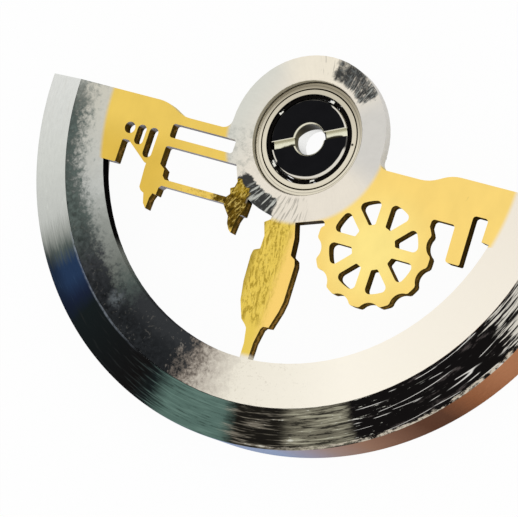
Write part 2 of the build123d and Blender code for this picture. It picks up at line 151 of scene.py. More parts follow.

# Painted reflections along each face, by degrees from the weight's middle, positive to the right
BAND_INNER_ZONES = [
    (-90, "cool cream"), (-64, "dull silver"), (-55, "ash"), (-42, "pewter"), (-36.5, "slate"),
    (-30, "graphite"), (-12.2, "graphite"), (-8.7, "brown grey"), (-4.8, "dust"), (3, "cream"),
    (30, "warm cream"), (90, "late cream"),
]
BAND_OUTER_ZONES = [
    (-90, "ash"), (-86.5, "pewter"), (-82, "slate"), (-58, "slate"), (-46, "graphite"),
    (-38, "soot"), (-13.8, "soot"), (-9.8, "brown grey"), (-5.8, "dust"), (2.5, "cream"),
    (30, "warm cream"), (90, "late cream"),
]
BEVEL_ZONES = [
    (-90, "pale"), (-72, "silver"), (-59.5, "dull silver"), (-56, "ash"), (-52.5, "slate"),
    (-49, "navy"), (-45.5, "navy"), (-41.5, "dark navy"), (-38, "moss"), (-19, "black"),
    (-15.5, "moss"), (-11, "teal"), (1.6, "teal"), (4.6, "olive black"), (14, "olive black"),
    (17.5, "tan grey"), (27.5, "tan grey"), (29.5, "black"), (90, "black"),
]
BEVEL_LINE_ZONES = [
    (-90, "light ash"), (-62, "silver"), (-56.5, "ash"), (-52.5, "pewter"), (-49, "blue line"),
    (-45, "blue line"), (-39, "dim line"), (-22, "dim line"), (-16, "dark line"),
    (-11, "green line"), (1.6, "green line"), (4.6, "grey line"), (14.5, "grey line"), (17.5, "dim tan"),
    (28, "dim tan"), (31, "tan grey"), (58, "ash"), (64, "bright line"), (90, "bright line"),
]
WALL_ZONES = [
    (-90, "silver"), (-55, "dull silver"), (-47, "navy"), (-38, "black"), (-20, "moss"),
    (-14, "teal"), (-9, "sky"), (12, "sky"), (18, "mist"), (23, "rose grey"), (29.5, "clay"),
    (35, "clay brown"), (41, "umber"), (45, "umber"), (51, "brown"), (58, "copper"), (90, "copper"),
]


def metal(name, description, red, green, blue):
    """A colour property, given in sRGB channels from 0 to 255."""
    return bpy.props.FloatVectorProperty(
        name=name, description=description, subtype="COLOR", size=4, min=0, max=1,
        default=tint(red, green, blue))


def length(name, description, default):
    """A length property, given in millimetres and kept in metres."""
    return bpy.props.FloatProperty(
        name=name, description=description, unit="LENGTH", precision=5, default=default * MM)


def position(name, description, x, y, z):
    """A position property, given in millimetres and kept in metres."""
    return bpy.props.FloatVectorProperty(
        name=name, description=description, subtype="TRANSLATION", unit="LENGTH",
        precision=5, default=(x * MM, y * MM, z * MM))


class RotorColours(bpy.types.PropertyGroup):
    """The platings and metals of the rotor, with painted reflections, highlights and shade in some of them.
    """

    # painted reflection: the gilt is one plating, paler to the right and on the wheel
    gold_left: metal("Gold, left arm", "Gilt web to the left of the hub", 234, 200, 97)
    gold_right: metal("Gold, right arm", "Gilt web to the right of the hub", 248, 214, 121)
    gold_wheel: metal("Gold, wheel", "Gilt face of the scalloped wheel", 252, 229, 140)
    silver_hub: metal("Silver, hub", "Silver plating of the hub", 231, 223, 209)
    # painted reflection: the greyer silver on the hub's left
    silver_cool: metal("Silver, cool side", "Silver plating on the hub's left", 212, 212, 203)
    # painted reflection: the near black of the dark patches on the brushed hub
    silver_dark: metal("Silver, brushed dark", "Dark brushed patches of the silver", 29, 33, 36)
    sawn_brown: metal("Cut wall, brown", "Pierced walls of the gilt web", 84, 66, 24)
    # painted highlight: the amber glints on the pierced walls
    sawn_amber: metal("Cut wall, amber", "Streaks of gilt on the pierced walls", 158, 120, 58)
    # painted reflection: the grey lilac of the bars' walls that face away from the hub
    sawn_grey: metal("Cut wall, grey", "Pierced walls that face away from the hub", 186, 185, 194)
    race_cream: metal("Race steel", "Turned steel of the outer race", 222, 214, 194)
    cone_black: metal("Black steel", "Blackened face of the slotted cone", 22, 22, 24)
    slot_steel: metal("Slot steel", "Bright floor of the driver slot", 232, 230, 206)
    core_steel: metal("Core steel", "Satin steel of the inner core", 150, 146, 134)
    ball_steel: metal("Ball steel", "Polished steel of the balls", 214, 216, 218)
    # near black: the cage's dark metal also stands for the shade in the gap between cone and race
    cage_metal: metal("Cage metal", "Dark metal of the ball cage", 15, 13, 12)


class RotorSizes(bpy.types.PropertyGroup):
    """The sizes of the dressed pieces that the frame doesn't give."""

    ledge_width: length("Ledge width", "Width of the segment's ledge under the band", 0.77)
    bevel_drop: length("Bevel drop", "Fall of the sloped bevel from band to rim", 0.32)
    rim_edge: length("Rim edge", "Round of the segment's lower outer edge", 0.08)
    press_gap: length("Press gap", "Gap between pressed pieces", 0.01)
    ball_gap: length("Ball gap", "Gap between a ball and its groove", 0.015)
    flange_width: length("Flange width", "Reach of the outer race's flange", 0.45)
    flange_thick: length("Flange thickness", "Thickness of the outer race's flange", 0.20)
    stake_inset: length("Staking inset", "Staking groove's distance from the race's bore", 0.235)
    stake_depth: length("Staking depth", "Depth of the staking groove", 0.05)
    seat_wall: length("Seat wall", "Wall of the core's seat round the screw's bore", 0.65)
    seat_thick: length("Seat thickness", "Thickness of the core's seat", 0.20)
    neck_wall: length("Neck wall", "Wall of the core's neck round the screw's bore", 0.35)
    cone_edge: length("Cone edge", "Chamfer of the slotted cone's upper edges", 0.05)
    slot_width: length("Slot width", "Width of the driver slot", 0.34)
    slot_depth: length("Slot depth", "Depth of the driver slot", 0.20)
    bore_radius: length("Bore radius", "Radius of the hole for the fixing screw", 0.65)
    slot_angle: bpy.props.FloatProperty(
        name="Slot angle", description="Direction of the driver slot",
        unit="ROTATION", default=math.radians(24))
    gear_teeth: bpy.props.IntProperty(
        name="Teeth", description="Teeth of the ring under the hub", default=62, min=20)

    def mm(self, name):
        """A size in millimetres."""
        return getattr(self, name) / MM


class RotorStage(bpy.types.PropertyGroup):
    """Camera, floor and light."""

    lens: bpy.props.FloatProperty(
        name="Focal length", description="Camera focal length in millimetres", default=167.156)
    eye: position("Camera place", "Where the camera stands", 44.1812, -13.1969, 87.6703)
    gaze: bpy.props.FloatVectorProperty(
        name="Camera turn", description="How the camera is turned", subtype="EULER",
        default=(math.radians(13.624), math.radians(24.310), math.radians(20.385)))
    floor_glow: bpy.props.FloatProperty(
        name="Floor whiteness", description="Share of plain white in the floor that the camera sees",
        subtype="FACTOR", default=0.96, min=0, max=1)
    floor_gap: length("Floor gap", "Space left between the floor and the segment", 0.01)
    floor_reach: length("Floor reach", "Half of the floor's width", 400)
    sky_strength: bpy.props.FloatProperty(
        name="Sky strength", description="Strength of the even surrounding light", default=0.85)
    lamp_power: bpy.props.FloatProperty(
        name="Lamp power", description="Power of the large soft lamp", unit="POWER", default=0.02)
    lamp_size: length("Lamp size", "Width of the large soft lamp", 120)
    lamp_place: position("Lamp place", "Where the large soft lamp stands", 90, 110, 130)


class Term:
    """A value inside a material: Python's operators on it add the Math nodes."""

    def __init__(self, paint, socket):
        self.paint = paint
        self.socket = socket

    def __add__(self, other):
        return self.paint.math("ADD", self, other)

    def __sub__(self, other):
        return self.paint.math("SUBTRACT", self, other)

    def __rsub__(self, other):
        return self.paint.math("SUBTRACT", other, self)

    def __mul__(self, other):
        return self.paint.math("MULTIPLY", self, other)

    def __truediv__(self, other):
        return self.paint.math("DIVIDE", self, other)

    def __pow__(self, other):
        return self.paint.math("POWER", self, other)

    def __neg__(self):
        return self.paint.math("MULTIPLY", self, -1.0)

    def __abs__(self):
        return self.paint.math("ABSOLUTE", self)

    __radd__ = __add__
    __rmul__ = __mul__

    def toned(self, share, red, green, blue):
        """This colour, going over to one in sRGB channels as share goes from 0 to 1."""
        return self.paint.mix(share, self, tint(red, green, blue))


class Paint:
    """One material's node tree, with short ways to place and link its nodes."""

    def __init__(self, name):
        self.material = bpy.data.materials.new(name)
        self.material.use_nodes = True
        self.tree = self.material.node_tree
        self.shader = self.tree.nodes["Principled BSDF"]
        self.cache = None

    @classmethod
    def over(cls, tree):
        """The same short ways over a tree that is no material's, such as the sky's."""
        paint = cls.__new__(cls)
        paint.tree = tree
        return paint

    def seen_by(self, ray):
        """1 for one kind of ray, 0 for the others."""
        return Term(self, self.node("ShaderNodeLightPath").outputs[ray])

    def node(self, kind, settings=(), inputs=()):
        """A node with its settings made first, then its sockets given values or links."""
        made = self.tree.nodes.new(kind)
        for key, value in dict(settings).items():
            setattr(made, key, value)
        for key, value in dict(inputs).items():
            self.feed(made.inputs[key], value)
        return made

    def feed(self, socket, value):
        """Links a term to a socket, or sets the socket to a plain value."""
        if isinstance(value, Term):
            self.tree.links.new(value.socket, socket)
        else:
            socket.default_value = value

    def math(self, operation, *values):
        """A Math node over terms or numbers."""
        inputs = dict(enumerate(values))
        return Term(self, self.node("ShaderNodeMath", {"operation": operation}, inputs).outputs[0])

    def most(self, a, b):
        """The greater of two values."""
        return self.math("MAXIMUM", a, b)

    def rise(self, value, low, high):
        """A smooth step from 0 at low to 1 at high."""
        made = self.node(
            "ShaderNodeMapRange", {"interpolation_type": "SMOOTHSTEP"},
            {"Value": value, "From Min": low, "From Max": high})
        return Term(self, made.outputs["Result"])

    def span(self, value, start, full, fading, end):
        """1 between full and fading, easing to 0 at start and at end."""
        return self.rise(value, start, full) * self.rise(value, end, fading)

    def noise(self, place, scale, detail=3.0, roughness=0.55, distortion=0.0):
        """Noise over a place (x, y, z) that swings about 0, mostly within -1 and 1."""
        vector = self.node("ShaderNodeCombineXYZ", (), dict(enumerate(place)))
        made = self.node("ShaderNodeTexNoise", (), {
            "Vector": Term(self, vector.outputs[0]), "Scale": scale, "Detail": detail,
            "Roughness": roughness, "Distortion": distortion})
        return (Term(self, made.outputs["Fac"]) - 0.5) * 5

    def mix(self, share, first, second, blend="MIX"):
        """A colour that goes from first to second as share goes from 0 to 1."""
        # 6, 7 and the output 2 are the node's sockets for colours
        made = self.node(
            "ShaderNodeMix", {"data_type": "RGBA", "blend_type": blend},
            {0: share, 6: first, 7: second})
        return Term(self, made.outputs[2])

    def shade(self, colour, level):
        """A colour made darker or lighter by a grey level."""
        grey = self.node("ShaderNodeCombineColor", (), {0: level, 1: level, 2: level})
        return self.mix(1.0, colour, Term(self, grey.outputs[0]), "MULTIPLY")

    def ramp(self, value, stops):
        """A colour ramp from (position, colour) stops."""
        made = self.node("ShaderNodeValToRGB", (), {0: value})
        elements = made.color_ramp.elements
        while len(elements) < len(stops):
            elements.new(0.5)
        for element, (position, colour) in zip(elements, stops):
            element.position = position
        for element, (position, colour) in zip(elements, stops):
            element.color = colour
        return Term(self, made.outputs["Color"])

    def around(self, degrees, zones):
        """A ramp over a half turn, from (degrees, tint name) zones between -90 and 90."""
        stops = [((angle + 90) / 180, tint(*TINTS[name])) for angle, name in zones]
        return self.ramp((degrees + 90) * (1 / 180), stops)

    def place(self):
        """Object coordinates in millimetres: x, y, z, the radius, the unit vector outwards,
        the angle from the weight's middle in degrees, and the way that the surface faces."""
        if not self.cache:
            coordinates = self.node("ShaderNodeTexCoord")
            parts = self.node("ShaderNodeSeparateXYZ")
            self.tree.links.new(coordinates.outputs["Object"], parts.inputs[0])
            facing = self.node("ShaderNodeSeparateXYZ")
            self.tree.links.new(coordinates.outputs["Normal"], facing.inputs[0])
            x, y, z = (Term(self, parts.outputs[i]) * (1 / MM) for i in range(3))
            radius = (x * x + y * y) ** 0.5
            self.cache = SimpleNamespace(
                x=x, y=y, z=z, radius=radius, out_x=x / radius, out_y=y / radius,
                angle=self.math("ARCTAN2", x, -y) * (180 / math.pi),
                facing=[Term(self, facing.outputs[i]) for i in range(3)],
            )
        return self.cache

    def towards(self, degrees, low, high):
        """A smooth step to 1 towards a direction round the axis, from the cosine of the
        angle to it: 0 where that is low, 1 where it is high."""
        at = self.place()
        turn = math.radians(degrees)
        return self.rise(at.out_x * math.cos(turn) + at.out_y * math.sin(turn), low, high)

    def spot(self, x, y, inner, outer):
        """1 within the inner distance of a place on the plate, fading to 0 at the outer."""
        at = self.place()
        dx, dy = at.x - x, at.y - y
        return self.rise((dx * dx + dy * dy) ** 0.5, outer, inner)

    def bump(self, height, strength, distance):
        """A surface direction tilted by a height, whose full step is a distance in millimetres."""
        made = self.node("ShaderNodeBump", (), {
            "Height": height, "Strength": strength, "Distance": distance * MM})
        return Term(self, made.outputs[0])

    def finish(self, colour, roughness, metallic=1.0, normal=None, gloss=0.5):
        """Feeds the surface shader and hands the material over."""
        self.feed(self.shader.inputs["Base Color"], colour)
        self.feed(self.shader.inputs["Roughness"], roughness)
        self.feed(self.shader.inputs["Metallic"], metallic)
        self.shader.inputs["Specular IOR Level"].default_value = gloss
        self.shader.inputs["Specular Tint"].default_value = EDGE_TINT
        if normal is not None:
            self.feed(self.shader.inputs["Normal"], normal)
        return self.material


def gilt_web(paint, colours):
    """Gold that pales to the right and on the wheel and deepens to the lower left, as painted reflection,
    with the brushed blade's and the dark post's painted reflections.
    """
    at = paint.place()
    x, y = at.x, at.y
    # painted reflection: the flat gold pales to the right and on the wheel, and deepens to the lower left
    gold = paint.mix(paint.rise(x, -2.0, 3.4), colours.gold_left, colours.gold_right)
    gold = paint.mix(paint.spot(4.4, -3.7, 0.4, 3.0), gold, colours.gold_wheel)
    gold = gold.toned(paint.rise(y, -0.9, -2.6) * paint.rise(x, -4.4, -6.4), 222, 186, 80)
    cloud = paint.noise((x, y * 0.6, 0.0), 1.3, 2.0)
    hairs = paint.noise((x * 2.0 - y * 0.6, y * 0.45 + x * 0.3, 2.0), 2.6, 2.0, 0.5)
    gold = paint.shade(gold, 1.0 + 0.03 * cloud - 0.14 * paint.rise(hairs, 1.15, 1.6))
    gold = brushed_blade_reflections(paint, gold)
    return post_reflections_and_bar(paint, gold)


def brushed_blade_reflections(paint, gold):
    """Painted reflections in the blade's brushing: dark and light strokes along it, dense over most of its
    width and none on its right edge, a lighter right side and a darker left edge.
    """
    at = paint.place()
    x, y = at.x, at.y
    lean = x + y * 0.12
    strokes = paint.noise((lean * 9.5, y * 2.1, 0.0), 1.0, 3.0, 0.6, 0.7)
    curls = paint.noise((lean * 6.2, y * 4.8, 5.0), 1.0, 3.0, 0.6, 1.6)
    blade = paint.rise(y, -3.34, -3.56) * paint.span(x, -0.95, -0.8, 1.6, 1.9)
    body = blade * paint.rise(y, -8.1, -7.6)
    left = paint.rise(x + curls * 0.12, 0.98, 0.46)
    # painted reflections: lighter on the blade's right, deeper on its left, with light and dark strokes and
    # a darker left edge
    gold = gold.toned(blade * (1.0 - left) * 0.8, 250, 210, 116)
    gold = gold.toned(blade * left * 0.85, 230, 201, 88)
    light = paint.rise(curls - strokes * 0.6, 0.35, 1.1)
    gold = gold.toned(light * body * left * 0.5, 242, 218, 120)
    dark = paint.rise(strokes + curls * 0.6, -0.45, 0.85)
    gold = gold.toned(dark * body * left * 0.80, 156, 128, 34)
    edge = paint.rise(x + strokes * 0.06, -0.36, -0.66)
    return gold.toned(edge * body * 0.55, 140, 118, 38)


def post_reflections_and_bar(paint, gold):
    """The inner post: painted reflections in bronze and olive streaks, light and dark by turns, and a
    flecked bar.
    """
    at = paint.place()
    x, y = at.x, at.y
    streaks = paint.noise((x * 5.0 - y * 2.6, y * 1.7 + x * 0.8, 0.0), 1.9, 3.0, 0.6, 0.8)
    flecks = paint.noise((x, y * 1.4, 7.0), 5.2, 3.0, 0.65, 0.6)
    post = paint.spot(-2.1, -3.3, 1.02, 1.22)
    # painted reflections: the post darkens to bronze and olive, light and dark by turns
    body = paint.mix(paint.rise(y + streaks * 0.22, -2.65, -3.25), tint(172, 142, 44), tint(104, 80, 22))
    body = body.toned(paint.rise(streaks + flecks * 0.3, 0.10, 0.75) * 0.85, 202, 178, 98)
    body = body.toned(paint.rise(-streaks + flecks * 0.3, 0.05, 0.65) * 0.85, 54, 40, 10)
    gold = paint.mix(post, gold, body)
    bar = paint.span(x, -5.6, -3.0, -2.0, -1.2) * paint.rise(y, -2.95, -3.1)
    return gold.toned(paint.rise(flecks, 0.0, 0.7) * bar * (1.0 - post) * 0.75, 150, 118, 48)


def dark_reflection_patch(paint, colours, silver, share, grit, strokes, streaked):
    """A painted reflection: a near black patch on the brushed silver, with grey grit all over, and light
    strokes where it is streaked.
    """
    dark = paint.mix(paint.rise(grit, 0.0, 1.2) * 0.50, colours.silver_dark, tint(126, 132, 132))
    dark = dark.toned(paint.rise(strokes, 0.15, 0.60) * streaked * 0.85, 198, 200, 192)
    return paint.mix(share * 0.96, silver, dark)


def silver_hub(paint, colours):
    """Silver brushed outwards from the axis, with painted reflections: greyer to the left, warm above,
    duller to the right, grey mottles and strokes, and two dark streaked patches.
    """
    at = paint.place()

    # rays lean to the left as they leave the axis, above it and below it
    sway = paint.rise(at.y, -0.8, 0.8) * 2.0 - 1.0
    ray_x, ray_y = at.out_x + at.y * sway * 0.1, at.out_y - at.x * sway * 0.1
    rays = paint.noise((ray_x * 13, ray_y * 13, at.radius * 0.5), 1.0, 3.0, 0.6)
    fine = paint.noise((ray_x * 30, ray_y * 30, at.radius * 0.9), 1.0, 2.0, 0.5, 0.3)
    cloud = paint.noise((at.x, at.y, 0.0), 2.4, 4.0, 0.65, 0.6)
    grit = paint.noise((at.x, at.y, 4.0), 6.5, 3.0, 0.65, 0.8)
    # painted reflection: greyer to the left, warm above and duller to the right
    silver = paint.mix(paint.rise(at.x - at.y * 0.25, -1.2, -3.6),
                       colours.silver_hub, colours.silver_cool)
    silver = silver.toned(paint.towards(98, 0.80, 1.0) * 0.8, 238, 230, 212)
    silver = silver.toned(paint.towards(12, 0.76, 0.97), 209, 206, 200)
    silver = paint.shade(silver, 1.0 + 0.014 * fine + 0.018 * cloud + 0.010 * grit)

    # painted reflections: grey mottles to the lower left, a fan of thin grey strokes below the axis, and
    # thin grey lines above it
    mottled = paint.towards(207, 0.86, 0.96) * paint.rise(cloud + grit * 0.5, -0.5, 1.1)
    silver = silver.toned(mottled * 0.42, 128, 134, 128)
    fan = paint.towards(275, 0.950, 0.985) * paint.rise(at.radius, 2.45, 2.65)
    silver = silver.toned(fan * paint.rise(fine, 0.05, 0.6) * 0.55, 136, 132, 122)
    lines = paint.towards(91, 0.986, 0.995) * paint.rise(at.radius, 2.6, 2.9)
    silver = silver.toned(lines * paint.rise(fine, 0.25, 0.8) * 0.45, 140, 136, 126)

    # painted reflection, upper patch: dark, cloudy on its left, streaked on its right
    near = paint.towards(64, 0.865, 0.925) * paint.rise(at.radius, 2.38, 2.52)
    upper = paint.towards(64, 0.910, 0.960) * paint.rise(at.radius, 2.42, 2.74)
    streaked = paint.towards(47, 0.910, 0.965)
    tone = upper * 1.05 + cloud * 0.30 + grit * 0.16 + fine * (0.08 + 0.34 * streaked)
    tone = tone - 0.22 * paint.rise(at.radius, HUB_R - 0.19, HUB_R + 0.03)
    silver = dark_reflection_patch(paint, colours, silver, near * paint.rise(tone, 0.30, 1.05),
                        grit + rays * 0.3, fine, streaked * 0.6)

    # painted reflection, lower patch: dark, gritty on its left, streaked on its right, with a painted
    # highlight on its pale outer rim
    lower = paint.towards(244, 0.915, 0.965) * paint.rise(at.radius + rays * 0.05, 2.62, 2.94)
    streaked = paint.towards(254, 0.920, 0.975)
    share = paint.rise(lower * 1.4 + cloud * 0.34 + rays * 0.16 + fine * 0.14 * streaked, 0.50, 1.00)
    thick = fine * 0.6 + rays * 0.5
    silver = dark_reflection_patch(paint, colours, silver, share, grit - rays * 0.3 - 0.25,
                        thick + cloud * 0.15, streaked)
    rim = paint.rise(at.radius, HUB_R - 0.03, HUB_R + 0.03) * lower
    return silver.toned(rim * 0.7, 150, 158, 162), rays


def silver_band(paint):
    """Silver whose painted reflection tones run round the rim and darken towards its outer edge, mottled
    towards that edge.
    """
    at = paint.place()
    mottle = paint.noise((at.x, at.y, 0.0), 2.7, 5.0, 0.72)
    blotch = paint.noise((at.x, at.y, 9.0), 4.6, 3.0, 0.6, 0.4)
    grain = paint.noise((at.x, at.y, 3.0), 7.5, 3.0, 0.7, 0.5)
    curls = paint.noise((at.x, at.y, 6.0), 3.4, 3.0, 0.6, 1.8)
    outwards = (at.radius - BAND_INNER_R) * (1 / BAND_WIDTH)
    low_left = paint.span(at.angle, -72.0, -52.0, -18.0, -6.0)
    speckled = paint.span(at.angle, -24.0, -12.0, -5.0, 2.0)
    ragged = at.angle + mottle * 1.9 + grain * 1.4 + speckled * curls * 2.0
    uneven = mottle * 0.18 + blotch * 0.26 + grain * 0.12
    share = paint.rise(outwards + uneven + low_left * outwards * 0.5, 0.26, 0.92)
    band = paint.mix(share, paint.around(ragged, BAND_INNER_ZONES), paint.around(ragged, BAND_OUTER_ZONES))
    left = paint.span(at.angle, -90.0, -86.0, -26.0, -6.0)
    patches = mottle * 0.20 + blotch * 0.42 + grain * 0.20
    band = paint.shade(band, 1.0 + left * (0.16 + 0.84 * share) * patches)

    # a pale cloud on the dark stretch, and light specks that are thickest where it ends
    pale = paint.spot(-6.0, -8.5, 0.10, 0.55) * paint.rise(blotch + mottle, -0.9, 0.6)
    band = band.toned(pale * 0.5, 120, 127, 130)
    specks = paint.rise(curls + grain * 0.4, 0.55, 1.15) * low_left
    band = band.toned(specks * (0.16 + 0.30 * speckled), 156, 150, 140)

    # faint stains on the cream stretch
    stains = paint.rise(grain, 0.30, 1.0) * paint.span(at.angle, -10.0, -4.0, 6.0, 30.0)
    return band.toned(stains * 0.30, 176, 166, 148), mottle


def pierced_walls(paint, colours):
    """Sawn walls: brown with painted amber highlights, painted grey lilac reflection on the bars, painted
    black shade in the band.
    """
    at = paint.place()
    along = at.facing[1]
    streaks = paint.noise((at.x, at.y, at.z * 0.4), 4.5, 3.0, 0.6)
    glints = paint.noise((at.x, at.y, at.z * 0.5), 2.2, 2.0, 0.6)
    # painted highlights: amber glints across the middle of the wall's height, strongest low on the blade
    amber = paint.span(at.z + streaks * 0.12, PLATE_LOW + 0.10, PLATE_LOW + 0.18,
                       PLATE_TOP - 0.24, PLATE_TOP - 0.14)
    blade = paint.rise(at.y, -5.2, -6.4) * paint.span(at.x, -1.0, -0.5, 1.8, 2.2)
    wall = paint.mix(amber * (0.20 + 0.60 * blade + 0.60 * paint.rise(glints, -0.1, 0.9)),
                     colours.sawn_brown, colours.sawn_amber)
    # painted shade: darker walls on the blade's upper part and past the right arm's end
    shaded = paint.rise(at.y, -5.8, -4.8) * paint.span(at.x, -1.0, -0.5, 1.5, 1.7)
    shaded = paint.most(shaded, paint.rise(at.x, 7.0, 7.5))
    wall = wall.toned(shaded * 0.65, 34, 24, 10)
    # painted reflection: walls that face away from the hub on the bars turn grey lilac
    bar = paint.rise(-along, 0.35, 0.85) * paint.rise(at.x, 0.2, -1.6)
    wall = paint.mix(bar, wall, colours.sawn_grey)
    wall = wall.toned(paint.spot(1.75, -3.35, 0.62, 0.78) * 0.8, 86, 78, 70)

    # the band's wall is painted black as shade on the left, and below takes the band's own painted
    # reflection tones
    band = paint.mix(paint.rise(at.angle, -50.0, -43.0),
                     tint(12, 11, 11), paint.around(at.angle, BAND_INNER_ZONES))
    outermost = paint.rise(at.radius, BAND_INNER_R - 0.27, BAND_INNER_R - 0.07)
    wall = paint.mix(outermost, wall, band)
    # painted light: walls facing +Y along the plate's edge near y = -0.85 turn pale, gold outside the band
    # and grey within it
    top_edge = paint.rise(along, 0.25, 0.6) * paint.rise(at.y, -0.95, -0.75)
    wall = paint.mix(top_edge, wall, paint.mix(outermost, tint(222, 202, 140), tint(200, 197, 184)))

    # the hub's wall is painted light silver above and painted near black shade below, and its bore is dull
    # cream
    hub = paint.rise(at.radius, HUB_R + 0.15, HUB_R + 0.07)
    wall = wall.toned(hub * paint.rise(at.y, -1.6, -0.9), 224, 221, 215)
    lower = paint.rise(at.y, -2.2, -2.6) * paint.rise(at.x, 0.6, 0.0)
    wall = wall.toned(hub * lower, 26, 28, 28)
    bore = paint.rise(at.radius, HUB_BORE_R + 0.28, HUB_BORE_R + 0.08)
    return wall.toned(bore, 176, 169, 148)


def plate_paint(colours):
    """Gilt web, silver hub and silver band on one sheet, with soft plating borders."""
    paint = Paint("plate_gilt_and_silver")
    at = paint.place()
    hub, rays = silver_hub(paint, colours)
    band, mottle = silver_band(paint)
    arms = paint.most(paint.rise(at.x, 0.0, -1.0) * paint.rise(at.y, -3.10, -3.02),
                      paint.rise(at.x, 0.0, 1.0) * paint.rise(at.y, -2.42, -2.34))
    edge = at.radius - arms * 0.26

    # the post's gold runs up into the hub as a ragged tongue
    tongue = at.y + abs(at.x + 2.28) * 0.75 + rays * 0.10
    tongue = paint.rise(tongue, -2.24, -2.36) * paint.rise(at.x, -1.55, -1.75)
    border = paint.most(paint.rise(at.radius, HUB_R - 0.01, HUB_R + 0.25), tongue)
    web = border * paint.rise(edge, BAND_INNER_R - 0.01, BAND_INNER_R - 0.27)
    face = paint.mix(paint.rise(at.radius, 6.0, 6.4), hub, band)
    face = paint.mix(web, face, gilt_web(paint, colours))

    upward = at.facing[2]
    is_wall = paint.rise(abs(upward), 0.75, 0.45)
    colour = paint.mix(is_wall, face, pierced_walls(paint, colours))
    under = paint.rise(-upward, 0.5, 0.8)
    colour = colour.toned(under, 204, 190, 150)
    relief = rays * paint.rise(at.radius, HUB_R + 0.23, HUB_R - 0.07) * 0.12 + mottle * 0.06
    return paint.finish(colour, 0.34 + 0.10 * is_wall, metallic=1.0 - is_wall, gloss=0.0,
                        normal=paint.bump(relief, 0.25, 0.02))


